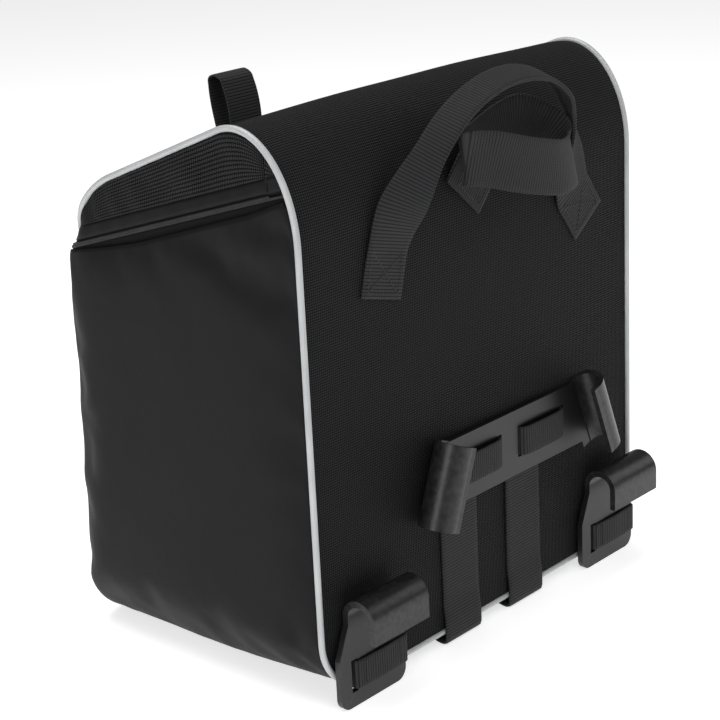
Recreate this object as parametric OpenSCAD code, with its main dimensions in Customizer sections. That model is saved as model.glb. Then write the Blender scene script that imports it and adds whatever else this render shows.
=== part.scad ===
// Single bicycle pannier bag with a zipped lid, rail hooks, a stay bracket and webbing straps.
// Millimetres.  +Z is up, +Y is the outward normal of the back that faces the rack, X is the width.

/* [Bag body] */
// Width of the bag across its back
bag_w = 358; // [340:1:380]
// Depth of the bag at its fullest height
bag_d = 245; // [225:1:260]
// Height from the bag's bottom to the crest of the rolled top
bag_h = 386; // [370:1:410]
// Thickness of the outer fabric with its foam backing
skin_t = 2.4; // [2:0.1:3]
// Thickness of the stiffening boards and of the foam behind the sides
board_t = 2; // [1.5:0.1:2.5]
// Thickness of the lining cloth
lining_t = 0.8; // [0.6:0.1:1.2]
// Radius of the bottom corners of the back
corner_r = 42; // [30:1:55]
// Radius of the upright front corners
front_corner_r = 12; // [8:1:20]
// Width of the reflective piping around the back and the lid
piping_w = 4.6; // [3.6:0.1:5]

/* [Lid and zip] */
// Height of the zip at the front face
zip_front_z = 281; // [270:1:285]
// Rise of the zip for each millimetre towards the back
zip_slope = 0.304; // [0.28:0.002:0.32]
// Height of one zip tape with its half of the coil
zip_tape_h = 3; // [2.5:0.1:3.5]
// Height of the smooth strip between the zip and the lid's seam
zip_strip_h = 10; // [8:0.5:12]
// Distance of each zip slider from the middle when the lid is closed
slider_x = 11; // [9:0.5:16]

/* [Straps] */
// Width of the webbing of the handle and of the bracket straps
webbing_w = 40; // [38:0.5:42]
// Thickness of that webbing
webbing_t = 1.8; // [1.4:0.1:2.2]
// Width of the pull loop on the lid
pull_w = 33; // [30:1:40]
// Height of the pull loop above its seam
pull_h = 85; // [78:1:92]
// Sideways place of the pull loop
pull_x = 2; // [-20:1:20]

/* [Rail hooks] */
// Distance of each rail hook's centre from the middle of the bag
hook_x = 138; // [134:1:141]
// Inner radius of the hook's cane
hook_r = 9.5; // [8.5:0.1:10.5]
// Wall thickness of the hook's plate and cane
hook_t = 4.5; // [4:0.1:5]
// Length of the cane along the rail
hook_len = 56; // [50:1:58]
// Width of the hook's plate
hook_plate_w = 66; // [62:1:68]
// How far the plate reaches below the bag's bottom
hook_drop = 10; // [8:1:12]

/* [Stay bracket] */
// Sideways place of the bracket's middle
bracket_x = -23; // [-28:1:10]
// Height of the bracket's middle above the bag's bottom
bracket_z = 121; // [116:1:126]
// Distance from the bracket's middle to each curled end
stay_x = 87; // [80:1:90]
// Inner radius of the curled ends
stay_r = 10; // [9:0.1:10.5]
// Wall thickness of the bracket
bracket_t = 4; // [3.5:0.1:4.5]
// Lean of each curled end towards the middle, in degrees
stay_lean = 21; // [18:1:24]

/* [Hidden] */
$fn = 48;

// The model stands on the hook plates, with the middle of its footprint at the origin.
stand_z = hook_drop;
stand_y = 100.1;

// Side profile: y is 0 at the back and negative towards the front, z is 0 at the bottom.
half_w = bag_w / 2;
roll_a = 52;
roll_b = 74;
roll_end = 105.7;
lid_front_y = 23 - bag_d;
lid_front_r = 45;
lid_front_top = 290.4;
bulge = 14;
bulge_z = 50;
toe_r = 10;
body_front_top = zip_front_z - zip_tape_h;
// Line across the rolled top where the lid folds.
hinge_y = -25;
hinge_gap = 0.5;
// The piping stops short of the fold, so that the lid can open.
piping_gap = 2;
big = 900;
// Depths, from the outer face, of the layers inside the bag.
board_in = skin_t + board_t;
lining_in = board_in + lining_t;
// How far the piping stands proud of the fabric.
proud = 1.6;

// Colours
fabric_black = [0.07, 0.07, 0.075];
satin_black = [0.10, 0.10, 0.11];
webbing_black = [0.13, 0.13, 0.14];
plastic_black = [0.16, 0.16, 0.17];
reflective_grey = [0.78, 0.79, 0.80];
metal_black = [0.22, 0.22, 0.23];
board_grey = [0.35, 0.36, 0.37];
lining_grey = [0.45, 0.46, 0.48];

function arc(cy, cz, ry, rz, from, to, n) =
    [for (i = [0:n]) let (a = from + (to - from) * i / n) [cy + ry * cos(a), cz + rz * sin(a)]];

// Front face of the body: it swells towards the foot.
function front_y(z) = -bag_d + bulge * pow((z - bulge_z) / (zip_front_z - bulge_z), 2);

// Closed side outline, moved inwards by t all round.
function side_outline(t) = concat(
    [[-t, t]],
    arc(-roll_a, bag_h - roll_b, roll_a - t, roll_b - t, 0, roll_end, 26),
    arc(lid_front_y + lid_front_r, lid_front_top, lid_front_r - t, lid_front_r - t, 111.8, 180, 12),
    [for (i = [0:6]) let (z = body_front_top - i * (body_front_top - bulge_z) / 6)
        [front_y(z) + t, z]],
    arc(toe_r - bag_d, toe_r, toe_r - t, toe_r - t, 180, 270, 8)
);

// Outline of the back seen square on, with rounded bottom corners.
function back_outline(t) = concat(
    [[half_w - t, big], [-half_w + t, big]],
    arc(-half_w + corner_r, corner_r, corner_r - t, corner_r - t, 180, 270, 10),
    arc(half_w - corner_r, corner_r, corner_r - t, corner_r - t, 270, 360, 10)
);

// Outline seen from above, with rounded front corners.
function plan_outline(t) = concat(
    [[half_w - t, 50], [-half_w + t, 50]],
    arc(-half_w + front_corner_r, front_corner_r - bag_d, front_corner_r - t,
        front_corner_r - t, 180, 270, 8),
    arc(half_w - front_corner_r, front_corner_r - bag_d, front_corner_r - t,
        front_corner_r - t, 270, 360, 8)
);

function zip_z(y) = zip_front_z + zip_slope * (y + bag_d - bulge);

// Everything is drawn in the bag's own frame and then stood in place.
module stand() {
    translate([0, stand_y, stand_z])
        children();
}

// Extrudes a y-z outline along X, between x0 and x1.
module along_x(x0, x1) {
    translate([x0, 0, 0])
        rotate([90, 0, 90])
            linear_extrude(x1 - x0)
                children();
}

// Extrudes an x-z outline along Y, between y0 and y1.
module along_y(y0, y1) {
    translate([0, y1, 0])
        rotate([90, 0, 0])
            linear_extrude(y1 - y0)
                children();
}

// The bag's whole volume, moved inwards by t.
module volume(t) {
    intersection() {
        along_x(-big, big)
            polygon(side_outline(t));
        along_y(-big, 50)
            polygon(back_outline(t));
        translate([0, 0, -big])
            linear_extrude(3 * big)
                polygon(plan_outline(t));
    }
}

module skin(outer, inner) {
    difference() {
        volume(outer);
        volume(inner);
    }
}

// Slab of the y-z plane between two lines parallel to the zip, in front of y1.
module zip_band(low, high, y1) {
    along_x(-big, big)
        polygon([
            [-400, zip_z(-400) + low], [y1, zip_z(y1) + low],
            [y1, zip_z(y1) + high], [-400, zip_z(-400) + high]
        ]);
}

// Half-space above a line parallel to the zip, in front of the fold.
module lid_space(low) {
    zip_band(low, big, hinge_y - hinge_gap);
}

// Space of the body: under the zip, and behind the fold up to the rolled top.
module body_space(low) {
    along_x(-big, big)
        polygon([
            [-400, -400], [50, -400], [50, big], [hinge_y, big],
            [hinge_y, zip_z(hinge_y) + low], [-400, zip_z(-400) + low]
        ]);
}

module block(x0, x1, y0, y1, z0, z1) {
    translate([x0, y0, z0])
        cube([x1 - x0, y1 - y0, z1 - z0]);
}

// Piping along the upright edges, over the roll and down the lid's edges.
module edge_piping_shape() {
    for (s = [0, 1])
        mirror([s, 0, 0])
            along_x(half_w + proud - piping_w, half_w + proud)
                difference() {
                    polygon(side_outline(-proud));
                    polygon(side_outline(piping_w - proud));
                }
}

// Piping along the bottom edge of the back and round its corners.
module bottom_piping_shape() {
    along_y(proud - piping_w, proud)
        difference() {
            polygon(back_outline(-proud));
            polygon(back_outline(piping_w - proud));
        }
}

module body_piping_shape() {
    intersection() {
        edge_piping_shape();
        block(-big, big, proud - piping_w - 0.01, 50, corner_r, bag_h - roll_b);
    }
    intersection() {
        edge_piping_shape();
        block(-big, big, hinge_y + piping_gap + 2, 50, bag_h - roll_b, big);
    }
    intersection() {
        bottom_piping_shape();
        block(-big, big, -50, 50, -50, corner_r);
    }
}

module lid_piping_shape() {
    intersection() {
        edge_piping_shape();
        block(-big, big, -big, hinge_y - piping_gap, 0, big);
        lid_space(zip_tape_h + zip_strip_h);
    }
}

// ---- Body ----------------------------------------------------------------------------------

module back_panel() {
    color(fabric_black)
        stand()
            difference() {
                intersection() {
                    volume(0);
                    block(-big, big, -big, 50, 0, big);
                    body_space(big);
                    union() {
                        block(-big, big, -skin_t, 50, 0, bag_h - roll_b);
                        difference() {
                            block(-big, big, hinge_y, 50, bag_h - roll_b, big);
                            along_x(-big, big)
                                polygon(side_outline(skin_t));
                        }
                    }
                }
                body_piping_shape();
            }
}

module gusset() {
    color(satin_black)
        stand()
            difference() {
                intersection() {
                    skin(0, skin_t);
                    body_space(-zip_tape_h);
                    block(-big, big, front_corner_r - bag_d, -skin_t, -50, big);
                }
                back_panel_space();
                body_piping_shape();
            }
}

// The ground that the back panel takes over the roll.
module back_panel_space() {
    difference() {
        block(-big, big, hinge_y, 50, bag_h - roll_b, big);
        along_x(-big, big)
            polygon(side_outline(skin_t));
    }
}

module front_panel() {
    color(satin_black)
        stand()
            intersection() {
                skin(0, skin_t);
                body_space(-zip_tape_h);
                block(-big, big, -big, front_corner_r - bag_d, -50, big);
            }
}

module back_board() {
    color(board_grey)
        stand()
            intersection() {
                volume(skin_t + 0.1);
                block(-half_w + 12, half_w - 12, -board_in, -skin_t, skin_t + 6, bag_h - roll_b);
            }
}

module bottom_board() {
    color(board_grey)
        stand()
            intersection() {
                volume(skin_t + 0.1);
                block(-half_w + corner_r, half_w - corner_r, 20 - bag_d, -board_in,
                    skin_t, board_in);
            }
}

module side_foam() {
    color(board_grey)
        stand()
            intersection() {
                skin(skin_t, board_in);
                body_space(-zip_tape_h - 6);
                block(-big, big, -big, -board_in, corner_r, zip_z(-40));
            }
}

module lining() {
    color(lining_grey)
        stand()
            intersection() {
                skin(board_in, lining_in);
                body_space(-zip_tape_h - 6);
                block(-big, big, -big, 50, 0, zip_z(-40) - 20);
            }
}

module body_piping() {
    color(reflective_grey)
        stand()
            body_piping_shape();
}

module lower_zip_tape() {
    color(metal_black)
        stand()
            intersection() {
                skin(0.6, skin_t);
                zip_band(-zip_tape_h, -0.15, hinge_y);
            }
}

// ---- Webbing sewn to the back ----------------------------------------------------------------

// Flat end of a webbing strap, sewn to the back and leaning towards the middle.
module sewn_end(x, z, lean, len) {
    translate([x, 0, z])
        rotate([0, lean, 0])
            block(-webbing_w / 2, webbing_w / 2, 0, webbing_t, -len / 2, len / 2);
}

left_end = [100, 285];
right_end = [-113, 283];
left_end_lean = -15;
right_end_lean = 35;
end_len = 44;
loop_end = [6, 327];
loop_end_lean = 48;

module carry_strap_ends() {
    color(webbing_black)
        stand() {
            sewn_end(left_end[0], left_end[1], left_end_lean, end_len);
            sewn_end(right_end[0], right_end[1], right_end_lean, end_len);
        }
}

module hand_loop_end() {
    color(webbing_black)
        stand()
            sewn_end(loop_end[0], loop_end[1], loop_end_lean, end_len);
}

back_strap_x = [34, -40];
back_strap_top = 128;
back_strap_under = 60;

// Strap down the back, with a slack turn under the bottom edge of the bag.
module back_strap(x) {
    lift = proud + 0.1;
    low = 0.6 - hook_drop;
    color(webbing_black)
        stand()
            along_x(x - webbing_w / 2, x + webbing_w / 2)
                polygon([
                    [0, back_strap_top], [webbing_t, back_strap_top], [webbing_t, 20],
                    [lift + webbing_t, 8], [lift + webbing_t, low], [-6, low],
                    [-26, -webbing_t], [-back_strap_under, -webbing_t],
                    [-back_strap_under, 0], [-24, 0], [-5, low + webbing_t],
                    [lift, low + webbing_t], [lift, 8], [0, 20]
                ]);
}

module left_back_strap() {
    back_strap(back_strap_x[0]);
}

module right_back_strap() {
    back_strap(back_strap_x[1]);
}

// ---- Rail hooks ------------------------------------------------------------------------------

hook_tab_w = 22;
hook_tab_t = 1.6;
hook_back_y = proud + hook_tab_t + 0.4;
hook_face_y = hook_back_y + hook_t;
hook_axis_y = hook_face_y + hook_r;
hook_axis_z = 58;
hook_tip_z = 43;
hook_slot_z = [1, 25];
hook_slot_x = [16, 22];

// Face of the hook's plate: its outer side, with the slot, is at +X.
module hook_plate_outline() {
    r = 9;
    w = hook_plate_w / 2;
    difference() {
        union() {
            translate([-w + r, -hook_drop + r])
                circle(r);
            translate([w - r, -hook_drop + r])
                circle(r);
            polygon([
                [-w + r, -hook_drop], [w - r, -hook_drop], [w, -hook_drop + r], [w, 28],
                [hook_len - w, hook_axis_z - 6], [hook_len - w, hook_axis_z], [-w, hook_axis_z],
                [-w, -hook_drop + r]
            ]);
        }
        translate([hook_slot_x[0], hook_slot_z[0]])
            square([hook_slot_x[1] - hook_slot_x[0], hook_slot_z[1] - hook_slot_z[0]]);
    }
}

module rail_hook() {
    w = hook_plate_w / 2;
    along_y(hook_back_y, hook_face_y)
        hook_plate_outline();
    intersection() {
        translate([-w, hook_axis_y, hook_axis_z])
            rotate([0, 90, 0])
                difference() {
                    cylinder(r = hook_r + hook_t, h = hook_len);
                    translate([0, 0, -1])
                        cylinder(r = hook_r, h = hook_len + 2);
                }
        block(-big, big, -10, 60, hook_axis_z, hook_axis_z + 40);
    }
    block(-w, hook_len - w, hook_axis_y + hook_r, hook_axis_y + hook_r + hook_t,
        hook_tip_z, hook_axis_z);
}

module left_rail_hook() {
    color(plastic_black)
        stand()
            translate([hook_x, 0, 0])
                rail_hook();
}

module right_rail_hook() {
    color(plastic_black)
        stand()
            translate([-hook_x, 0, 0])
                rail_hook();
}

// Webbing tab that comes through the plate's slot and wraps round its inner edge.
module hook_webbing() {
    x_in = -hook_plate_w / 2;
    y0 = hook_back_y - 0.2 - hook_tab_t;
    y1 = hook_face_y + 0.2;
    z0 = 13 - hook_tab_w / 2;
    z1 = 13 + hook_tab_w / 2;
    block(x_in - 0.2 - hook_tab_t, hook_slot_x[0] + 1, y1, y1 + hook_tab_t, z0, z1);
    block(x_in - 0.2 - hook_tab_t, x_in - 0.2, y0, y1 + hook_tab_t, z0, z1);
    block(hook_slot_x[0] + 1, hook_slot_x[0] + 1 + hook_tab_t, y0, y1 + hook_tab_t, z0, z1);
    block(x_in - 0.2 - hook_tab_t, hook_slot_x[0] + 1 + hook_tab_t, y0, y0 + hook_tab_t, 5, z1);
}

module left_hook_webbing() {
    color(webbing_black)
        stand()
            translate([hook_x, 0, 0])
                hook_webbing();
}

module right_hook_webbing() {
    color(webbing_black)
        stand()
            translate([-hook_x, 0, 0])
                hook_webbing();
}

// ---- Stay bracket ----------------------------------------------------------------------------

bracket_back_y = webbing_t + 0.2;
bracket_face_y = bracket_back_y + bracket_t;
bracket_h = 50;
stay_axis_y = bracket_face_y + stay_r;
stay_len = 60;
lace_w = 22;
lace_t = 1.6;
lace_slots = [[14, 64], [-60, -10]];
lace_slot_w = 5;
plate_in = 0.4;

// Curled end: most of a tube with a lip, open towards the bracket's middle.
module curl() {
    outer = stay_r + bracket_t;
    foot = stay_r + 2 * plate_in;
    head = stay_r - 0.3;
    translate([0, stay_axis_y, -stay_len / 2])
        difference() {
            union() {
                cylinder(r = outer, h = stay_len);
                translate([-7, 2, 0])
                    cube([7, outer - 2.3, stay_len]);
            }
            translate([0, 0, -1])
                cylinder(r = stay_r, h = stay_len + 2);
            translate([-outer - 1, -foot, -1])
                cube([outer + 1, foot + head, stay_len + 2]);
            translate([-outer - 9, -foot, -1])
                cube([outer + 2, 3 * stay_r, stay_len + 2]);
        }
}

module stay_bracket() {
    color(plastic_black)
        stand()
            translate([bracket_x, 0, bracket_z]) {
                along_y(bracket_back_y + plate_in, bracket_face_y - plate_in)
                    difference() {
                        polygon([
                            [-stay_x - 8, -bracket_h / 2], [stay_x + 8, -bracket_h / 2],
                            [stay_x - 10, bracket_h / 2], [-stay_x + 10, bracket_h / 2]
                        ]);
                        for (slots = lace_slots, x = slots)
                            translate([x - lace_slot_w / 2, -lace_w / 2 - 1])
                                square([lace_slot_w, lace_w + 2]);
                    }
                for (s = [0, 1])
                    mirror([s, 0, 0])
                        translate([stay_x, 0, 0])
                            rotate([0, -stay_lean, 0])
                                curl();
            }
}

// Webbing laced through two of the bracket's slots.
module bracket_webbing(slots) {
    x0 = slots[0] - lace_t / 2;
    x1 = slots[1] + lace_t / 2;
    y1 = bracket_face_y + 0.2;
    color(webbing_black)
        stand()
            translate([bracket_x, 0, bracket_z])
                intersection() {
                    block(-big, big, webbing_t, 50, -lace_w / 2, lace_w / 2);
                    union() {
                        block(x0, x1, y1, y1 + lace_t, -50, 50);
                        block(x0, x0 + lace_t, 0, y1 + lace_t, -50, 50);
                        block(x1 - lace_t, x1, 0, y1 + lace_t, -50, 50);
                    }
                }
}

module left_bracket_webbing() {
    bracket_webbing(lace_slots[0]);
}

module right_bracket_webbing() {
    bracket_webbing(lace_slots[1]);
}

// ---- Lid -------------------------------------------------------------------------------------

module lid_panel() {
    color(fabric_black)
        stand()
            difference() {
                intersection() {
                    volume(0);
                    lid_space(zip_tape_h + zip_strip_h);
                }
                along_x(-big, big)
                    polygon(side_outline(skin_t));
                lid_piping_shape();
            }
}

module lid_sides() {
    color(fabric_black)
        stand()
            for (s = [0, 1])
                mirror([s, 0, 0])
                    intersection() {
                        along_x(half_w - skin_t, half_w)
                            polygon(side_outline(piping_w - proud));
                        lid_space(zip_tape_h + zip_strip_h);
                    }
}

module lid_zip_strip() {
    color(satin_black)
        stand()
            intersection() {
                skin(0, skin_t);
                zip_band(zip_tape_h, zip_tape_h + zip_strip_h, hinge_y - hinge_gap);
            }
}

module upper_zip_tape() {
    color(metal_black)
        stand()
            intersection() {
                skin(0.6, skin_t);
                zip_band(0.15, zip_tape_h, hinge_y - hinge_gap);
            }
}

module lid_board() {
    color(board_grey)
        stand()
            intersection() {
                along_x(12 - half_w, half_w - 12)
                    difference() {
                        polygon(side_outline(skin_t));
                        polygon(side_outline(board_in));
                    }
                block(-big, big, lid_front_y + lid_front_r, -roll_a - 18, 0, big);
                lid_space(zip_strip_h);
            }
}

module lid_piping() {
    color(reflective_grey)
        stand()
            lid_piping_shape();
}

// ---- Pull loop on the lid --------------------------------------------------------------------

pull_axis_y = lid_front_y - 3.5;
pull_axis_z = lid_front_top + 1;
pull_t = 1.6;

// Share of its full swell that the loop has at share s of its height.
function swell(s) = s < 0.7 ? pow(sin(90 * s / 0.7), 1.6) : sqrt(1 - pow((s - 0.7) / 0.3, 2));

// Point i of 16 of the loop's outline, drawn in by t; the loop leans forward as it rises.
function pull_point(side, t, tall, i) =
    let (s = i / 16)
    [side * (pull_t - t + 8 * swell(0.96 * s)) - 10 * s * s, tall * s];

function pull_outline(t, tall, from) = concat(
    [for (i = [from:16]) pull_point(1, t, tall, i)],
    [for (i = [16:-1:from]) pull_point(-1, t, tall, i)]
);

module pull_loop() {
    color(webbing_black)
        stand()
            translate([0, pull_axis_y, pull_axis_z])
                along_x(pull_x - pull_w / 2, pull_x + pull_w / 2)
                    difference() {
                        polygon(pull_outline(0, pull_h, 0));
                        polygon(pull_outline(pull_t + 0.2, pull_h - 2, 2));
                    }
}

// ---- Carry strap and hand loop ---------------------------------------------------------------

// Webbing swept along stations [point, width direction, normal, share of its width]; a
// narrower place is folded lengthwise and thicker in proportion.
module band(stations, w, t, closed) {
    n = len(stations);
    corners = [for (s = stations)
        let (a = s[1] * w * s[3] / 2, b = s[2] * t / s[3] / 2)
        each [s[0] - a - b, s[0] + a - b, s[0] + a + b, s[0] - a + b]];
    spans = closed ? n : n - 1;
    sides = [for (i = [0:spans - 1], k = [0:3])
        let (a = 4 * i + k, b = 4 * i + (k + 1) % 4)
        let (c = 4 * ((i + 1) % n) + (k + 1) % 4, d = 4 * ((i + 1) % n) + k)
        each (k == 2 ? [[a, b, d], [b, c, d]] : [[a, b, c], [a, c, d]])];
    ends = closed ? [] : [
        [2, 1, 0], [3, 2, 0],
        [4 * n - 4, 4 * n - 3, 4 * n - 2], [4 * n - 4, 4 * n - 2, 4 * n - 1]
    ];
    polyhedron(points = corners, faces = concat(sides, ends), convexity = 8);
}

function unit(v) = v / norm(v);

// Route of the carry strap: points of its middle line, each with the twist of its width away
// from the back's plane and with the share of its width that is left where it is folded
// lengthwise for the grip.  Its ends are level with the line that it folds about.
strap_route = [
    [[95, 3.1, 302], 0, 1], [[91, 7, 318], 12, 1], [[84, 13, 335], 34, 0.75],
    [[73, 19, 355], 58, 0.56], [[58, 23, 373], 80, 0.55], [[36, 24, 386], 90, 0.55],
    [[8, 25, 394], 90, 0.55], [[-20, 25, 394], 90, 0.55], [[-46, 24, 387], 90, 0.55],
    [[-66, 23, 374], 80, 0.55], [[-79, 19, 357], 58, 0.56], [[-90, 13, 338], 34, 0.75],
    [[-97, 7, 320], 12, 1], [[-102, 3.1, 302], 0, 1]
];

// Stations of the strap: its width turns from the back's plane to the outward direction.
function strap_stations(route) =
    let (n = len(route))
    [for (i = [0:n - 1])
        let (t = unit(route[min(i + 1, n - 1)][0] - route[max(i - 1, 0)][0]))
        let (at_end = i == 0 || i == n - 1)
        let (flat = at_end ? [sign(t[2]), 0, 0] : unit([t[2], 0, -t[0]]))
        let (lean = flat * cos(route[i][1]) - [0, 1, -0.35] * sin(route[i][1]))
        let (u = at_end ? flat : unit(lean - t * (lean * t)))
        [route[i][0], u, at_end ? [0, 1, 0] : cross(t, u), route[i][2]]];

module carry_strap() {
    color(webbing_black)
        stand()
            band(strap_stations(strap_route), webbing_w, webbing_t, false);
}

// The hand loop is a teardrop seen from above, standing on edge and falling to the right.
loop_route = [
    [50, 29, 350], [30, 37, 346], [8, 42, 339], [-14, 44, 333], [-36, 43, 328], [-54, 38, 327],
    [-66, 31, 328], [-70, 22, 332], [-66, 13, 340], [-52, 8, 350], [-36, 7, 356],
    [-16, 7, 354], [6, 9, 349], [26, 16, 347]
];
loop_lean = [0.28, 0, 1];

// Stations of the closed loop, with its width kept square to the route.
loop_stations = let (n = len(loop_route))
    [for (i = [0:n - 1])
        let (t = unit(loop_route[(i + 1) % n] - loop_route[(i + n - 1) % n]))
        let (u = unit(loop_lean - t * (loop_lean * t)))
        [loop_route[i], u, cross(t, u), 1]];

module hand_loop() {
    color(webbing_black)
        stand()
            band(loop_stations, webbing_w - 2, webbing_t, true);
}

// ---- Zip sliders and pulls -------------------------------------------------------------------

slider_y = -bag_d + bulge - 1.2;
slider_depth = 7;
slider_w = 9;
pull_pin_y = slider_y - slider_depth + 1.4;
pull_pin_z = zip_front_z - 3;
pull_pin_r = 0.9;

// Slider body with the ears that hold the pull's pin.
module zip_slider(x) {
    color(metal_black)
        stand()
            translate([x, 0, 0]) {
                block(-slider_w / 2, slider_w / 2, slider_y - 3.4, slider_y,
                    zip_front_z - 7, zip_front_z + 1.6);
                for (s = [-1, 1])
                    translate([s * 3 - 0.7, 0, 0])
                        difference() {
                            block(0, 1.4, slider_y - slider_depth, slider_y - 3,
                                pull_pin_z - 2, pull_pin_z + 2);
                            translate([-1, pull_pin_y, pull_pin_z])
                                rotate([0, 90, 0])
                                    cylinder(r = pull_pin_r + 0.1, h = 4);
                        }
            }
}

module left_zip_slider() {
    zip_slider(slider_x);
}

module right_zip_slider() {
    zip_slider(-slider_x);
}

// Pull with its pin, hanging from the slider.
module zip_pull(x) {
    color(metal_black)
        stand()
            translate([x, pull_pin_y, pull_pin_z]) {
                translate([-3.6, 0, 0])
                    rotate([0, 90, 0])
                        cylinder(r = pull_pin_r, h = 7.2);
                block(-1.8, 1.8, -0.9, 0.9, -6, 0);
                difference() {
                    block(-4, 4, -0.9, 0.9, -27, -5);
                    block(-2, 2, -2, 2, -24, -9);
                }
            }
}

module left_zip_pull() {
    zip_pull(slider_x);
}

module right_zip_pull() {
    zip_pull(-slider_x);
}

back_panel();
gusset();
front_panel();
back_board();
bottom_board();
side_foam();
lining();
body_piping();
lower_zip_tape();
carry_strap_ends();
hand_loop_end();
left_hook_webbing();
right_hook_webbing();
left_rail_hook();
right_rail_hook();
stay_bracket();
left_bracket_webbing();
right_bracket_webbing();
left_back_strap();
right_back_strap();
lid_panel();
lid_sides();
lid_zip_strip();
upper_zip_tape();
lid_board();
lid_piping();
pull_loop();
carry_strap();
hand_loop();
left_zip_slider();
right_zip_slider();
left_zip_pull();
right_zip_pull();
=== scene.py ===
"""Looks of the pannier bag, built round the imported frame.

Shapes are worked out in millimetres in the bag's own frame: x across, y = 0 on the outside of the back and
negative towards the front, z = 0 at the bag's bottom. world() turns them into the frame's metres."""
import math

import bpy
import bmesh
import numpy as np
from mathutils import Matrix, Vector

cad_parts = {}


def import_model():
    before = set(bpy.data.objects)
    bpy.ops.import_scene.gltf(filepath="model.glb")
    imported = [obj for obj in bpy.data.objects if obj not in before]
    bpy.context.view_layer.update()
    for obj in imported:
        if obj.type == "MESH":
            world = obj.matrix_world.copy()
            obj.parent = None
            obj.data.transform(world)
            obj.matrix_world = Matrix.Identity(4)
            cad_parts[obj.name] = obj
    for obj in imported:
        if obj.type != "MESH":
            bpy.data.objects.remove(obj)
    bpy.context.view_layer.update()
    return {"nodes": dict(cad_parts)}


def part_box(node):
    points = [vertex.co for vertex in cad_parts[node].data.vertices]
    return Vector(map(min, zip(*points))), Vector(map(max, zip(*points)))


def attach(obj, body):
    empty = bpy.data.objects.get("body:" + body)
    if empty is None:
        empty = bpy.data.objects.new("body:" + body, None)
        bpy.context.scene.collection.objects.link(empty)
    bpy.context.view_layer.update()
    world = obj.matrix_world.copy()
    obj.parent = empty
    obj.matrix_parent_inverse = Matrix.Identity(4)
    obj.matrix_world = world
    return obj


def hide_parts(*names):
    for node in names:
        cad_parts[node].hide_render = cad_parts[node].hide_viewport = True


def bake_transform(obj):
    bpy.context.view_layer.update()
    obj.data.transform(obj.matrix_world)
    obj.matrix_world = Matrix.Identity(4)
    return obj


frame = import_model()
scene = bpy.context.scene

# ---- The bag's frame and sizes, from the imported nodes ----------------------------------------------
back_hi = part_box("back_panel")[1]
foot_lo, foot_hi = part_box("gusset")
front_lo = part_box("front_panel")[0]
ORIGIN = np.array([0.0, back_hi.y, foot_lo.z])
HALF_W = (foot_hi.x - foot_lo.x) * 500
DEPTH = (back_hi.y - front_lo.y) * 1000
HEIGHT = (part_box("lid_panel")[1].z - foot_lo.z) * 1000
LID_FRONT = (back_hi.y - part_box("lid_panel")[0].y) * -1000
ZIP_FRONT = (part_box("lower_zip_tape")[0].z - foot_lo.z) * 1000 + 3

# Rolled top: half depth and height of its ellipse, and the angle where it runs straight towards the front.
ROLL_A, ROLL_B, ROLL_END = 52, 74, 105.7
# Lid's front edge: radius and centre of its nose, and the height where the lid's front begins.
NOSE_R, NOSE_Y, NOSE_Z = 75, LID_FRONT + 75, 270.1
LID_TOP = 290.4
# Radii of the back's bottom corners, the body's front corners and the lid's front corners.
CORNER, FRONT_R, LID_CORNER = 42, 12, 20
# Rise of the zip towards the back, height of one tape with its coil, and of the smooth strip over it.
ZIP_SLOPE, TAPE, STRIP = 0.304, 3, 10
# How far the body's front swells out beyond the zip, and the height up to which it is fullest.
BULGE, BULGE_Z = 14, 50
# Line across the rolled top where the lid bends, and the end of the zip behind it.
FOLD_Y, ZIP_END = -25, -8.5
# Thickness of the padded fabric.
SKIN = 2.2
# Direction across the bag, and upwards.
ACROSS, UP = np.array([1.0, 0, 0]), np.array([0, 0, 1.0])


def world(p):
    """Millimetres of the bag to metres of the frame."""
    return np.asarray(p, float) / 1000 + ORIGIN


# ---- Camera ----------------------------------------------------------------------------------------
def make_camera():
    az, el, roll = math.radians(132.73), math.radians(18.86), math.radians(-2.88)
    back = Vector((math.sin(az) * math.cos(el), -math.cos(az) * math.cos(el), math.sin(el)))
    right = (-back).cross(Vector((0, 0, 1))).normalized()
    up = right.cross(-back)
    right2 = right * math.cos(roll) + up * math.sin(roll)
    up2 = up * math.cos(roll) - right * math.sin(roll)
    data = bpy.data.cameras.new("camera")
    data.sensor_width = 36
    data.lens = 95.478
    data.clip_start, data.clip_end = 0.05, 50
    cam = bpy.data.objects.new("camera", data)
    middle = Vector((0, back_hi.y - 0.1155, foot_lo.z + 0.1692))
    cam.location = middle - right2 * 0.00171 + back * 1.4247
    cam.rotation_mode = "QUATERNION"
    m = np.array([list(right2), list(up2), list(back)]).T
    cam.rotation_quaternion = Matrix(m.tolist()).to_quaternion()
    scene.collection.objects.link(cam)
    scene.camera = cam


make_camera()


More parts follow.
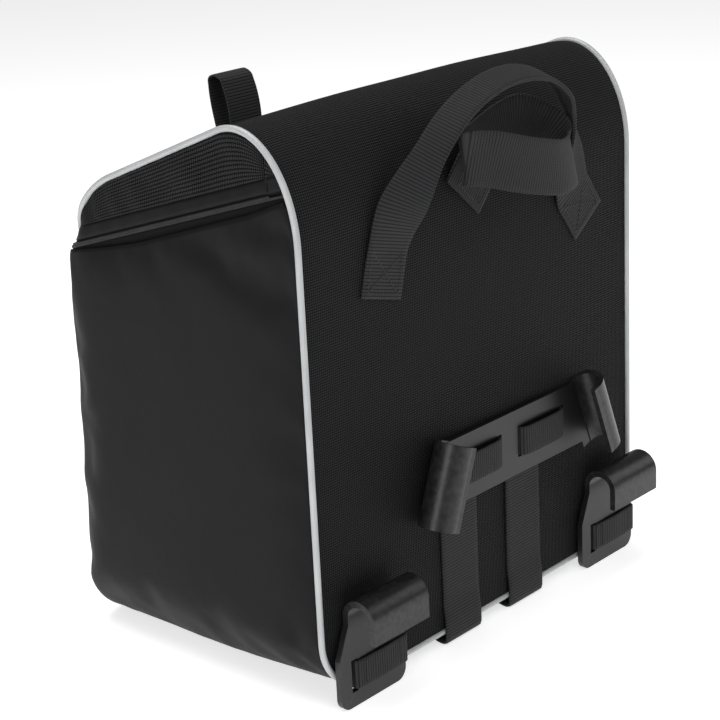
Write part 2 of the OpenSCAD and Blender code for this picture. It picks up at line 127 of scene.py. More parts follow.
# ---- Node materials --------------------------------------------------------------------------------
class Nodes:
    """Small helper that wires a material's nodes."""

    def __init__(self, name):
        self.mat = bpy.data.materials.new(name)
        self.mat.use_nodes = True
        self.tree = self.mat.node_tree
        self.bsdf = self.tree.nodes["Principled BSDF"]

    def node(self, kind, **values):
        n = self.tree.nodes.new(kind)
        for k, v in values.items():
            setattr(n, k, v)
        return n

    def link(self, a, b):
        self.tree.links.new(a, b)

    def feed(self, socket, value):
        if isinstance(value, bpy.types.NodeSocket):
            self.link(value, socket)
        else:
            socket.default_value = value

    def math(self, op, a, b=0.0, c=0.0):
        n = self.node("ShaderNodeMath", operation=op)
        for socket, value in zip(n.inputs, (a, b, c)):
            self.feed(socket, value)
        return n.outputs[0]

    def mix(self, factor, a, b):
        n = self.node("ShaderNodeMix", data_type="RGBA")
        self.feed(n.inputs[0], factor)
        self.feed(n.inputs[6], a)
        self.feed(n.inputs[7], b)
        return n.outputs[2]

    def noise(self, vector, scale, detail, rough=0.5):
        n = self.node("ShaderNodeTexNoise")
        self.feed(n.inputs["Vector"], vector)
        n.inputs["Scale"].default_value = scale
        n.inputs["Detail"].default_value = detail
        n.inputs["Roughness"].default_value = rough
        return n.outputs["Fac"]

    def span(self, value, low, high, to_low=0.0, to_high=1.0):
        n = self.node("ShaderNodeMapRange")
        for socket, v in zip(n.inputs, (value, low, high, to_low, to_high)):
            self.feed(socket, v)
        return n.outputs[0]

    def bump(self, height, strength, distance, normal=None):
        n = self.node("ShaderNodeBump")
        n.inputs["Strength"].default_value = strength
        n.inputs["Distance"].default_value = distance
        self.link(height, n.inputs["Height"])
        if normal is not None:
            self.link(normal, n.inputs["Normal"])
        return n.outputs[0]

    def finish(self, color, rough, normal=None, specular=0.5, sheen=0.0, metallic=0.0):
        b = self.bsdf.inputs
        self.feed(b["Base Color"], color)
        self.feed(b["Roughness"], rough)
        b["Specular IOR Level"].default_value = specular
        b["Sheen Weight"].default_value = sheen
        b["Sheen Roughness"].default_value = 0.45
        b["Metallic"].default_value = metallic
        if normal is not None:
            self.link(normal, b["Normal"])
        return self.mat


def rgb(r, g, b):
    return (r, g, b, 1.0)


def uv_axes(n):
    coord = n.node("ShaderNodeTexCoord")
    split = n.node("ShaderNodeSeparateXYZ")
    n.link(coord.outputs["UV"], split.inputs[0])
    return coord.outputs["UV"], split.outputs[0], split.outputs[1]


def woven(n, u, v, pitch_u, pitch_v, twill=0.0):
    """Height of a plain or twill weave, 0 to 1, from coordinates in metres."""
    a = n.math("DIVIDE", u, pitch_u)
    b = n.math("DIVIDE", v, pitch_v)
    b = n.math("MULTIPLY_ADD", a, twill, b)
    warp = n.math("ABSOLUTE", n.math("SINE", n.math("MULTIPLY", a, math.pi)))
    weft = n.math("ABSOLUTE", n.math("SINE", n.math("MULTIPLY", b, math.pi)))
    turn = n.math("MODULO", n.math("ADD", n.math("FLOOR", a), n.math("FLOOR", b)), 2.0)
    turn = n.math("ABSOLUTE", turn)
    over = n.math("MULTIPLY", turn, n.math("POWER", warp, 0.6))
    under = n.math("MULTIPLY", n.math("SUBTRACT", 1.0, turn), n.math("POWER", weft, 0.6))
    cross = n.math("MULTIPLY", warp, weft)
    return n.math("MULTIPLY", n.math("ADD", over, under), n.math("POWER", cross, 0.25))


def textured_fabric():
    n = Nodes("textured_fabric")
    uv, u, v = uv_axes(n)
    h = woven(n, u, v, 0.0018, 0.0018)
    threads = n.noise(uv, 2600, 2)
    patch = n.noise(uv, 9, 3)
    height = n.math("MULTIPLY_ADD", threads, 0.25, h)
    dark = n.mix(patch, rgb(0.0018, 0.0018, 0.0019), rgb(0.0028, 0.0028, 0.0030))
    # Painted highlight: the raised tops of the weave take a paler colour that stands in for light catching
    # the threads; the base between them is the cloth's own near-black.
    color = n.mix(n.span(height, 0.55, 1.10), dark, rgb(0.036, 0.036, 0.0375))
    rough = n.span(height, 0.2, 1.1, 0.78, 0.50)
    return n.finish(color, rough, n.bump(height, 0.85, 0.0006), 0.07, 0.0)


def satin_fabric():
    n = Nodes("satin_fabric")
    uv, u, v = uv_axes(n)
    h = woven(n, u, v, 0.00045, 0.00045)
    fold = n.noise(uv, 26, 4, 0.55)
    patch = n.noise(uv, 5, 2)
    color = n.mix(patch, rgb(0.0054, 0.0054, 0.0063), rgb(0.0076, 0.0076, 0.0087))
    rough = n.span(patch, 0.3, 0.7, 0.50, 0.58)
    low = n.bump(fold, 0.35, 0.0022)
    return n.finish(color, rough, n.bump(h, 0.30, 0.00012, low), 0.12, 0.01)


def webbing_material():
    n = Nodes("webbing")
    uv, u, v = uv_axes(n)
    ribs = n.math("ABSOLUTE", n.math("SINE", n.math("MULTIPLY", v, math.pi / 0.0023)))
    h = woven(n, u, v, 0.0010, 0.00115)
    height = n.math("MULTIPLY_ADD", ribs, 0.75, n.math("MULTIPLY", h, 0.45))
    fuzz = n.noise(uv, 3200, 2)
    patch = n.noise(uv, 40, 2)
    height = n.math("MULTIPLY_ADD", fuzz, 0.15, height)
    dark = n.mix(patch, rgb(0.0060, 0.0060, 0.0064), rgb(0.0090, 0.0090, 0.0096))
    # Painted highlight: the raised ribs and thread tops take a paler colour that stands in for light on the
    # weave; the base is the webbing's own dark tone.
    color = n.mix(n.span(height, 0.3, 1.2), dark, rgb(0.038, 0.038, 0.0400))
    rough = n.span(height, 0.2, 1.2, 0.80, 0.52)
    return n.finish(color, rough, n.bump(height, 0.8, 0.0005), 0.15, 0.03)


def piping_material():
    n = Nodes("piping")
    uv, u, v = uv_axes(n)
    h = woven(n, u, v, 0.0007, 0.0007)
    soil = n.noise(uv, 30, 3)
    color = n.mix(n.span(soil, 0.35, 0.7), rgb(0.46, 0.47, 0.48), rgb(0.56, 0.57, 0.575))
    rough = n.span(h, 0.0, 1.0, 0.42, 0.34)
    return n.finish(color, rough, n.bump(h, 0.35, 0.0002), 0.55, 0.0, 0.15)


def tape_material():
    n = Nodes("zip_tape")
    _, u, v = uv_axes(n)
    h = woven(n, u, v, 0.0006, 0.0009, 1.0)
    # Painted highlight: the raised tops of the twill take the paler colour and the hollows keep the darker
    # one.
    color = n.mix(h, rgb(0.003, 0.003, 0.0032), rgb(0.007, 0.007, 0.0075))
    return n.finish(color, n.span(h, 0, 1, 0.8, 0.6), n.bump(h, 0.6, 0.0003), 0.12, 0.0)


def lining_material():
    n = Nodes("lining")
    uv, u, v = uv_axes(n)
    h = woven(n, u, v, 0.0008, 0.0008)
    fold = n.noise(uv, 18, 3)
    # Painted shade: the colour follows the same noise as the fold bumps, darker in the hollows of the folds
    # and paler on their crests.
    color = n.mix(fold, rgb(0.10, 0.105, 0.112), rgb(0.135, 0.14, 0.15))
    low = n.bump(fold, 0.4, 0.002)
    return n.finish(color, n.span(h, 0, 1, 0.66, 0.52), n.bump(h, 0.3, 0.0002, low), 0.45, 0.1)


def thread_material():
    n = Nodes("thread")
    coord = n.node("ShaderNodeTexCoord")
    twist = n.noise(coord.outputs["Object"], 2400, 2)
    color = n.mix(twist, rgb(0.012, 0.012, 0.0125), rgb(0.040, 0.040, 0.042))
    return n.finish(color, n.span(twist, 0, 1, 0.6, 0.4), n.bump(twist, 0.4, 0.0002), 0.5, 0.05)


def solid_material(name, low, high, rough_low, rough_high, grain, depth, specular, metallic, wear):
    """Moulded or enamelled surface: fine grain, uneven gloss and paler edges."""
    n = Nodes(name)
    coord = n.node("ShaderNodeTexCoord")
    point = coord.outputs["Object"]
    fine = n.noise(point, grain, 3)
    broad = n.noise(point, 12, 2)
    edge = n.span(n.node("ShaderNodeNewGeometry").outputs["Pointiness"], 0.57, 0.64)
    scuff = n.math("MULTIPLY", edge, n.span(n.noise(point, 260, 3), 0.35, 0.65))
    color = n.mix(n.math("MULTIPLY", scuff, 0.35), n.mix(broad, low, high), wear)
    rough = n.math("MULTIPLY_ADD", fine, 0.10, n.span(broad, 0.3, 0.7, rough_low, rough_high))
    return n.finish(color, rough, n.bump(fine, 0.35, depth), specular, 0.0, metallic)


TEXTURED = textured_fabric()
SATIN = satin_fabric()
WEBBING = webbing_material()
PIPING = piping_material()
TAPE_MAT = tape_material()
LINING = lining_material()
THREAD = thread_material()
PLASTIC = solid_material("moulded_plastic", rgb(0.0062, 0.0063, 0.0065), rgb(0.0080, 0.0081, 0.0083),
                         0.28, 0.33, 1500, 0.00008, 0.42, 0.0, rgb(0.055, 0.055, 0.057))
ENAMEL = solid_material("zip_metal", rgb(0.016, 0.016, 0.017), rgb(0.024, 0.024, 0.025),
                        0.26, 0.36, 900, 0.00008, 0.6, 0.6, rgb(0.28, 0.27, 0.26))
BOARD = solid_material("board", rgb(0.045, 0.045, 0.047), rgb(0.06, 0.06, 0.062),
                       0.5, 0.6, 700, 0.0003, 0.4, 0.0, rgb(0.09, 0.09, 0.09))
COIL = solid_material("zip_coil", rgb(0.012, 0.012, 0.0125), rgb(0.018, 0.018, 0.019),
                      0.30, 0.40, 1500, 0.0001, 0.5, 0.0, rgb(0.05, 0.05, 0.05))


# ---- Mesh helpers ----------------------------------------------------------------------------------
def add_object(name, points, faces, uvs, material):
    """Mesh from points in metres; uvs holds one (u, v) in metres for each face corner, or is None."""
    mesh = bpy.data.meshes.new(name)
    mesh.from_pydata([tuple(p) for p in points], [], [tuple(f) for f in faces])
    if uvs is not None:
        layer = mesh.uv_layers.new(name="UVMap")
        layer.data.foreach_set("uv", np.asarray(uvs, np.float32).ravel())
    mesh.materials.append(material)
    mesh.shade_smooth()
    obj = bpy.data.objects.new(name, mesh)
    scene.collection.objects.link(obj)
    return obj


def lengths(grid, axis):
    """Running length along an axis of a grid of points, averaged over the other axis, in metres."""
    steps = np.linalg.norm(np.diff(grid, axis=axis), axis=2).mean(axis=1 - axis)
    return np.concatenate([[0], np.cumsum(steps)]) / 1000


def grid_faces(nu, nv, closed_v=False):
    faces = []
    for i in range(nu - 1):
        for j in range(nv if closed_v else nv - 1):
            k = (j + 1) % nv
            faces.append((i * nv + j, (i + 1) * nv + j, (i + 1) * nv + k, i * nv + k))
    return faces


def sheet_object(name, grid, material, away_from, uv=None):
    """A grid of bag-frame points as an open sheet whose normals point away from a bag-frame point."""
    nu, nv, _ = grid.shape
    points = world(grid.reshape(-1, 3))
    faces = np.array(grid_faces(nu, nv))
    if uv is None:
        cu, cv = np.meshgrid(lengths(grid, 0), lengths(grid, 1), indexing="ij")
        uv = np.stack([cu, cv], axis=2)
    flat_uv = uv.reshape(-1, 2)
    a, b, c = (points[faces[:, k]] for k in (0, 1, 2))
    normals = np.cross(b - a, c - a)
    if ((a - world(away_from)) * normals).sum() < 0:
        faces = faces[:, ::-1]
    return add_object(name, points, faces, flat_uv[faces.ravel()], material)


def border(nu, nv, rows=1):
    """Indices of a grid's outer vertices, rows deep."""
    index = np.arange(nu * nv).reshape(nu, nv)
    inner = index[rows:-rows, rows:-rows].ravel()
    return sorted(set(index.ravel().tolist()) - set(inner.tolist()))


def simulate(obj, pinned, pressure, slack, cap_mm, bending):
    """Cloth with pinned seams and air pressure; the result is written to the mesh, moved at most cap_mm."""
    frames = 20
    mesh = obj.data
    rest = np.array([v.co for v in mesh.vertices], float)
    group = obj.vertex_groups.new(name="pin")
    group.add([int(i) for i in pinned], 1.0, "REPLACE")
    m = obj.modifiers.new("Cloth", "CLOTH")
    s = m.settings
    s.quality = 6
    s.mass = 0.25
    s.tension_stiffness = s.compression_stiffness = 25
    s.shear_stiffness = 8
    s.bending_stiffness = bending
    s.tension_damping = s.compression_damping = s.shear_damping = 8
    s.bending_damping = 1
    s.air_damping = 2
    s.vertex_group_mass = "pin"
    s.shrink_min = -slack
    s.use_pressure = True
    s.uniform_pressure_force = pressure
    s.effector_weights.gravity = 0
    m.collision_settings.use_collision = False
    m.collision_settings.use_self_collision = False
    m.point_cache.frame_start, m.point_cache.frame_end = 1, frames
    for f in range(1, frames + 1):
        scene.frame_set(f)
    done = obj.evaluated_get(bpy.context.evaluated_depsgraph_get())
    moved = np.array([v.co for v in done.data.vertices], float)
    obj.modifiers.remove(m)
    obj.vertex_groups.remove(group)
    scene.frame_set(1)
    step = moved - rest
    size = np.linalg.norm(step, axis=1, keepdims=True)
    cap = cap_mm / 1000
    step *= np.where(size > 1e-9, cap * np.tanh(size / cap) / np.maximum(size, 1e-9), 0)
    mesh.vertices.foreach_set("co", (rest + step).astype(np.float32).ravel())
    mesh.update()


def apply_modifiers(obj):
    done = obj.evaluated_get(bpy.context.evaluated_depsgraph_get())
    mesh = bpy.data.meshes.new_from_object(done)
    obj.modifiers.clear()
    old = obj.data
    obj.data = mesh
    bpy.data.meshes.remove(old)
    mesh.name = obj.name


def thicken(obj, thickness_mm, subdivide):
    """Subdivides a sheet and gives it a real thickness on its inner side."""
    if subdivide:
        s = obj.modifiers.new("Subdivision", "SUBSURF")
        s.levels = s.render_levels = subdivide
    m = obj.modifiers.new("Solidify", "SOLIDIFY")
    m.thickness = thickness_mm / 1000
    m.offset = -1
    m.use_even_offset = False
    apply_modifiers(obj)


def beyond(p, k):
    """Point k of a polyline that runs straight on past both ends."""
    if k < 0:
        return 2 * p[0] - p[1]
    return 2 * p[-1] - p[-2] if k >= len(p) else p[k]


def curve_points(points, count, closed=False):
    """Evenly spaced points of a Catmull-Rom curve through the given points of any dimension."""
    p = np.asarray(points, float)
    n = len(p)
    spans = n if closed else n - 1
    out = []
    for i in range(spans):
        a, b, c, d = (p[k % n] if closed else beyond(p, k) for k in range(i - 1, i + 3))
        t = np.linspace(0, 1, 24, endpoint=False)[:, None]
        out.append(0.5 * (2 * b + (c - a) * t + (2 * a - 5 * b + 4 * c - d) * t ** 2
                          + (3 * b - a - 3 * c + d) * t ** 3))
    out = np.concatenate(out + [[p[0] if closed else p[-1]]])
    run = np.concatenate([[0], np.cumsum(np.linalg.norm(np.diff(out[:, :3], axis=0), axis=1))])
    want = np.linspace(0, run[-1], count + 1 if closed else count)
    even = np.stack([np.interp(want, run, out[:, k]) for k in range(out.shape[1])], axis=1)
    return even[:-1] if closed else even


def unit(v):
    return v / np.maximum(np.linalg.norm(v, axis=-1, keepdims=True), 1e-12)


def band(name, route, across, width, thick, body=None, closed=False, fold=None):
    """Webbing along evenly spaced points. across is its width direction at each point; fold is the share of
    the width left at each point where it is folded lengthwise."""
    route, across = np.asarray(route, float), np.asarray(across, float)
    n = len(route)
    if closed:
        ahead, behind = np.roll(route, -1, 0), np.roll(route, 1, 0)
    else:
        ahead = np.concatenate([route[1:], route[-1:]])
        behind = np.concatenate([route[:1], route[:-1]])
    t = unit(ahead - behind)
    u = unit(across - t * (across * t).sum(1, keepdims=True))
    w = np.cross(t, u)
    half, r = width / 2, thick / 2
    lay = []
    for k in np.linspace(-1, 1, 11):
        lay.append((k * (half - r * 0.6), r * (1.0 if abs(k) < 0.93 else 0.92)))
    ring = [(x, y) for x, y in lay] + [(half - r * 0.1, r * 0.5), (half, 0), (half - r * 0.1, -r * 0.5)]
    ring += [(x, -y) for x, y in reversed(lay)]
    ring += [(-half + r * 0.1, -r * 0.5), (-half, 0), (-half + r * 0.1, r * 0.5)]
    ring = np.array(ring)
    share = np.ones(n) if fold is None else np.asarray(fold, float)
    pts = (route[:, None] + u[:, None] * (ring[None, :, :1] * share[:, None, None])
           + w[:, None] * (ring[None, :, 1:] / share[:, None, None]))
    m = len(ring)
    points = world(pts.reshape(-1, 3))
    run = np.concatenate([[0], np.cumsum(np.linalg.norm(np.diff(route, axis=0), axis=1))]) / 1000
    if closed:
        run = np.append(run, run[-1] + np.linalg.norm(route[0] - route[-1]) / 1000)
    faces, uvs = [], []
    for i in range(n if closed else n - 1):
        j = (i + 1) % n
        for k in range(m):
            l = (k + 1) % m
            faces.append((i * m + k, i * m + l, j * m + l, j * m + k))
            a, b = ring[k, 0] / 1000, ring[l, 0] / 1000
            uvs += [(a, run[i]), (b, run[i]), (b, run[i + 1]), (a, run[i + 1])]
    if not closed:
        for first, reverse in ((0, False), ((n - 1) * m, True)):
            cap = [first + k for k in range(m)]
            cap = cap if reverse else cap[::-1]
            faces.append(cap)
            uvs += [(points[k][0], points[k][2]) for k in cap]
    obj = add_object(name, points, faces, uvs, WEBBING)
    fix_normals(obj)
    if body:
        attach(obj, body)
    return obj


def fix_normals(obj):
    bm = bmesh.new()
    bm.from_mesh(obj.data)
    bmesh.ops.recalc_face_normals(bm, faces=bm.faces)
    bm.to_mesh(obj.data)
    bm.free()


def tube(name, route, radius, material, sides):
    """Round piping along evenly spaced points, with closed ends."""
    route = np.asarray(route, float)
    n = len(route)
    t = unit(np.concatenate([route[1:], route[-1:]]) - np.concatenate([route[:1], route[:-1]]))
    u = np.zeros_like(route)
    side = np.array([1.0, 0, 0]) if abs(t[0][0]) < 0.8 else np.array([0, 1.0, 0])
    for i in range(n):
        side = side - t[i] * (side @ t[i])
        side = side / np.linalg.norm(side)
        u[i] = side
    w = np.cross(t, u)
    ang = np.linspace(0, 2 * math.pi, sides, endpoint=False)
    turn = u[:, None] * np.cos(ang)[None, :, None] + w[:, None] * np.sin(ang)[None, :, None]
    pts = route[:, None] + radius * turn
    points = world(pts.reshape(-1, 3))
    run = np.concatenate([[0], np.cumsum(np.linalg.norm(np.diff(route, axis=0), axis=1))]) / 1000
    faces, uvs = [], []
    for i in range(n - 1):
        for k in range(sides):
            l = (k + 1) % sides
            faces.append((i * sides + k, i * sides + l, (i + 1) * sides + l, (i + 1) * sides + k))
            a, b = k * 6.28 * radius / sides / 1000, (k + 1) * 6.28 * radius / sides / 1000
            uvs += [(a, run[i]), (b, run[i]), (b, run[i + 1]), (a, run[i + 1])]
    for first, flip in ((0, True), ((n - 1) * sides, False)):
        cap = [first + k for k in range(sides)]
        cap = cap[::-1] if flip else cap
        faces.append(cap)
        uvs += [(points[k][0], points[k][2]) for k in cap]
    obj = add_object(name, points, faces, uvs, material)
    fix_normals(obj)
    return obj


def stitches(name, paths, out, pitch=3.4, length=2.5, radius=0.32):
    """Rows of thread stitches along bag-frame polylines; out is the surface's outward direction."""
    points, faces = [], []
    for path in paths:
        path = np.asarray(path, float)
        run = np.concatenate([[0], np.cumsum(np.linalg.norm(np.diff(path, axis=0), axis=1))])
        count = max(1, int(run[-1] / pitch))
        for k in range(count):
            s = (k + 0.5) * run[-1] / count
            ends = [np.array([np.interp(s + d, run, path[:, c]) for c in range(3)])
                    for d in (-length / 2, length / 2)]
            t = unit(ends[1] - ends[0])
            o = np.asarray(out, float)
            w = np.cross(t, o)
            base = len(points)
            for q, lift, size in ((0, -0.25, 0.35), (0.25, 0.12, 1), (0.75, 0.12, 1), (1, -0.25, 0.35)):
                c = ends[0] * (1 - q) + ends[1] * q + o * lift
                for a in range(5):
                    g = 2 * math.pi * a / 5
                    points.append(c + radius * size * (o * math.cos(g) + w * math.sin(g)))
            for r in range(3):
                row = base + r * 5
                for a in range(5):
                    b = (a + 1) % 5
                    faces.append((row + a, row + b, row + 5 + b, row + 5 + a))
            faces.append(tuple(base + a for a in range(4, -1, -1)))
            faces.append(tuple(base + 15 + a for a in range(5)))
    obj = add_object(name, world(np.array(points)), faces, None, THREAD)
    fix_normals(obj)
    return obj


# ---- Shapes of the bag ------------------------------------------------------------------------------
def front_y(z):
    """Front face of the body and of the lid's foot at height z."""
    z = np.asarray(z, float)
    foot = ZIP_FRONT - TAPE
    body = -DEPTH + BULGE * (np.clip(z - BULGE_Z, 0, None) / (ZIP_FRONT - BULGE_Z)) ** 2
    top = -DEPTH + BULGE * ((foot - BULGE_Z) / (ZIP_FRONT - BULGE_Z)) ** 2
    lean = top + (LID_FRONT - top) * np.clip((z - foot) / (LID_TOP - foot), 0, 1)
    return np.where(z > foot, lean, body)


def zip_z(y):
    """Height of the zip's middle line."""
    return ZIP_FRONT + ZIP_SLOPE * (np.asarray(y, float) + DEPTH - BULGE)


def profile(inset):
    """Points (y, z) of the back, the rolled top and the lid's top down to its front seam."""
    a = np.radians(np.linspace(0, ROLL_END, 40))
    roll = np.stack([-ROLL_A + (ROLL_A - inset) * np.cos(a),
                     HEIGHT - ROLL_B + (ROLL_B - inset) * np.sin(a)], 1)
    b = np.radians(np.linspace(111.8, 161, 18))
    nose = np.stack([NOSE_Y + (NOSE_R - inset) * np.cos(b), NOSE_Z + (NOSE_R - inset) * np.sin(b)], 1)
    return roll, nose


def lid_half_width(y):
    """Half width of the lid: its front corners are rounded in plan."""
    y = np.asarray(y, float)
    turn = np.clip(LID_FRONT + LID_CORNER - y, 0, LID_CORNER)
    return HALF_W - LID_CORNER + np.sqrt(LID_CORNER ** 2 - turn ** 2)


def even(points, step):
    """Points of a polyline, evenly spaced at about step mm."""
    points = np.asarray(points, float)
    run = np.concatenate([[0], np.cumsum(np.linalg.norm(np.diff(points, axis=0), axis=1))])
    want = np.linspace(0, run[-1], max(3, int(run[-1] / step) + 1))
    return np.stack([np.interp(want, run, points[:, k]) for k in range(points.shape[1])], 1)


def soft_noise(a, b, seed, amp, scale):
    """Smooth seeded noise over two coordinates in mm, for a gentle waviness."""
    r = np.random.default_rng(seed)
    total = np.zeros(np.broadcast(a, b).shape)
    for _ in range(9):
        g = r.uniform(-1, 1, 2) / scale
        total = total + np.sin(2 * math.pi * (a * g[0] + b * g[1]) + r.uniform(0, 6.28)) * r.uniform(0.4, 1)
    return amp * total / 3


# ---- The textured panel: back, rolled top and lid in one cloth --------------------------------------
def wrap_panel():
    roll, nose = profile(0)
    line = even(np.concatenate([[[0, 1.2]], roll, nose]), 7)
    t = np.linspace(-1, 1, 47)
    y, z = line[:, :1], line[:, 1:]
    low = np.clip(CORNER - z, 0, CORNER)
    half = np.where(z < CORNER, HALF_W - CORNER + np.sqrt(CORNER ** 2 - low ** 2), lid_half_width(y)) - 2.0
    along = unit(np.gradient(line, axis=0))
    out_y, out_z = along[:, 1:], -along[:, :1]
    x = half * t[None]
    edge = np.clip((half - np.abs(x)) / 14, 0, 1)
    s = np.concatenate([[0], np.cumsum(np.linalg.norm(np.diff(line, axis=0), axis=1))])[:, None]
    ends = np.clip(np.minimum(s, s[-1] - s) / 20, 0, 1)
    inner = 1 - np.clip((half - np.abs(x)) / 60, 0, 1)
    wave = soft_noise(x, s, 3, 0.55, 120) + soft_noise(x, s, 5, 0.35, 55) * inner
    crown = 3.0 * np.clip((s - 345) / 60, 0, 1) * (1 - (x / half) ** 2)
    lift = (wave + crown) * np.sin(edge * math.pi / 2) * ends - 0.9 * (1 - edge) ** 2
    lift = np.where((z < 300) & (y > -1), np.minimum(lift, 0.3), lift)
    grid = np.stack([x, y + out_y * lift, z + out_z * lift], axis=2)
    uv = np.stack([x / 1000, np.broadcast_to(s / 1000, x.shape)], 2)
    obj = sheet_object("wrap_panel", grid, TEXTURED, (0, -110, 200), uv)
    thicken(obj, SKIN, 1)
    return obj


def fold_blend(obj):
    """Bakes the object's placement into its mesh."""
    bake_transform(obj)


# ---- The satin gusset and front panel ---------------------------------------------------------------
def zip_gap(y):
    """Extra height of tape that shows along the sides."""
    side = np.clip((np.asarray(y, float) + 215) / 60, 0, 1) * np.clip(-np.asarray(y, float) / 40, 0.25, 1)
    return 4.0 * side


def sag(points):
    """The loaded bottom hangs a little lower towards the front."""
    points = points.copy()
    forward = np.clip(-points[..., 1] / 150, 0, 1)
    low = np.clip(1 - points[..., 2] / 170, 0, 1)
    points[..., 2] -= 9.6 * np.sin(forward * math.pi / 2) * low
    return points


def tub_column(t, phi, tuck):
    """One upright section of the gusset strip: down one side, under the bottom and up the other."""
    inset = FRONT_R * (1 - math.cos(phi)) + tuck
    top_y = t * (front_y(ZIP_FRONT) + FRONT_R) - FRONT_R * math.sin(phi)
    top = min(float(zip_z(top_y) - TAPE - zip_gap(top_y)), float(profile_z(top_y, 1.4)))
    zs = np.linspace(top, CORNER, 38)
    corner = np.radians(np.linspace(0, 90, 11)[1:])
    r = CORNER - inset
    right = [(HALF_W - inset, z) for z in zs]
    right += [(HALF_W - CORNER + r * math.cos(a), CORNER - r * math.sin(a)) for a in corner]
    bottom = [(x, inset) for x in np.linspace(HALF_W - CORNER, -(HALF_W - CORNER), 40)[1:-1]]
    left = [(-x, z) for x, z in reversed(right)]
    xz = np.array(right + bottom + left)
    y = t * (front_y(xz[:, 1]) + FRONT_R) - FRONT_R * math.sin(phi) + tuck * 0.6
    return sag(np.stack([xz[:, 0], y, xz[:, 1]], 1))


def gusset():
    columns = [tub_column(t, 0, 0) for t in np.linspace(0.008, 1, 34)]
    columns += [tub_column(1, a, 0) for a in np.radians(np.linspace(0, 90, 9)[1:])]
    columns.append(tub_column(1, math.pi / 2, 1.6))
    grid = np.stack(columns)
    obj = sheet_object("gusset_cloth", grid, SATIN, (0, -110, 150))
    index = np.arange(grid.shape[0] * grid.shape[1]).reshape(grid.shape[:2])
    pinned = set(index[0].tolist() + index[-1].tolist() + index[-2].tolist())
    pinned |= set(index[:, 0].tolist() + index[:, -1].tolist())
    pinned |= set(index[1:-1, 44:-44].ravel().tolist())
    simulate(obj, sorted(pinned), 1.4, 0.012, 4.5, 0.3)
    thicken(obj, SKIN, 1)
    return obj


def front_panel():
    rows = []
    zs = np.concatenate([np.linspace(FRONT_R - 1.2, CORNER, 7),
                         np.linspace(CORNER, ZIP_FRONT - TAPE - 0.5, 44)[1:]])
    r = CORNER - FRONT_R
    for z in zs:
        drop = min(max(CORNER - z, 0), r)
        half = HALF_W - CORNER + math.sqrt(max(r * r - drop * drop, 0))
        half = max(half, HALF_W - CORNER + 2) + 0.8
        x = np.linspace(-half, half, 56)
        y = np.full_like(x, float(front_y(z)))
        rows.append(np.stack([x, y, np.full_like(x, z)], 1))
    grid = np.stack(rows)
    edge = np.zeros(grid.shape[:2])
    edge[0] = edge[:, 0] = edge[:, -1] = 1
    grid[..., 1] += 1.4 * edge
    grid = sag(grid)
    obj = sheet_object("front_cloth", grid, SATIN, (0, -110, 150))
    simulate(obj, border(*grid.shape[:2], 2), 1.2, 0.012, 5.0, 0.4)
    thicken(obj, SKIN, 1)
    return obj


# ---- Lid: side panels, smooth strip ------------------------------------------------------------------
def profile_z(y, inset):
    """Height of the rolled top and the lid over y."""
    roll, nose = profile(inset)
    line = np.concatenate([roll, nose])
    keep = line[np.argsort(line[:, 0], kind="stable")]
    upper = keep[keep[:, 1] > LID_TOP]
    return np.interp(y, upper[:, 0], upper[:, 1])


def lid_side(sign, y0, y1, name):
    """Textured side of the lid, between the strip's seam and the piping."""
    columns, rows = 34, 15
    ys = y0 + (y1 - y0) * np.sin(np.linspace(0, 1, columns) * math.pi / 2)
    grid = np.zeros((columns, rows, 3))
    for i, y in enumerate(ys):
        low = float(zip_z(y)) + TAPE + STRIP - 0.4
        high = max(float(profile_z(y, 1.6)), low + 0.8)
        grid[i, :, 0] = sign * (float(lid_half_width(y)) - 0.4)
        grid[i, :, 1] = y
        grid[i, :, 2] = np.linspace(low, high, rows)
    obj = sheet_object(name, grid, TEXTURED, (0, -110, 300))
    simulate(obj, border(columns, rows), 1.5, 0.02, 3.6, 0.25)
    thicken(obj, SKIN - 0.4, 1)
    return obj


def rear_piece(sign, low, high, inset, material, name):
    """Piece of the lid's side behind the fold. It stays with the body and ends where the roll meets it."""
    ys = np.linspace(FOLD_Y - 0.3, -4, 60)
    ys = ys[[float(profile_z(y, 1.6)) > float(zip_z(y)) + low + 0.8 for y in ys]]
    ys = np.linspace(ys[0], ys[-1], 8)
    grid = np.zeros((8, 5, 3))
    for i, y in enumerate(ys):
        foot = float(zip_z(y)) + low
        grid[i, :, 0] = sign * (HALF_W - inset)
        grid[i, :, 1] = y
        grid[i, :, 2] = np.linspace(foot, min(foot + high - low, float(profile_z(y, 1.6))), 5)
    obj = sheet_object(name, grid, material, (0, -110, 300))
    thicken(obj, 1.4, 0)
    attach(obj, "bag")


def plan_path(inset, y_back, step, radius=FRONT_R):
    """U-shaped path in plan at nominal depth, from the +X side round the front to the -X side."""
    r = radius - inset
    a = np.radians(np.linspace(0, 90, 13))
    corner = np.stack([HALF_W - radius + r * np.cos(a), -DEPTH + radius - r * np.sin(a)], 1)
    right = np.concatenate([[[HALF_W - inset, y_back]], corner])
    left = right[::-1] * [-1, 1]
    return even(np.concatenate([right, left]), step)


def on_zip(plan, height):
    """Points at a height over the zip line, with the plan pulled in to the front face there."""
    y = plan[:, 1].copy()
    for _ in range(4):
        y = plan[:, 1] * (-front_y(zip_z(y) + height) / DEPTH)
    return np.stack([plan[:, 0], y, zip_z(y) + height], 1)


def matched(paths):
    """Paths brought to the same number of points and stacked as a grid."""
    share = np.linspace(0, 1, min(len(r) for r in paths))
    return np.stack([np.stack([np.interp(share, np.linspace(0, 1, len(r)), r[:, k]) for k in range(3)], 1)
                     for r in paths])


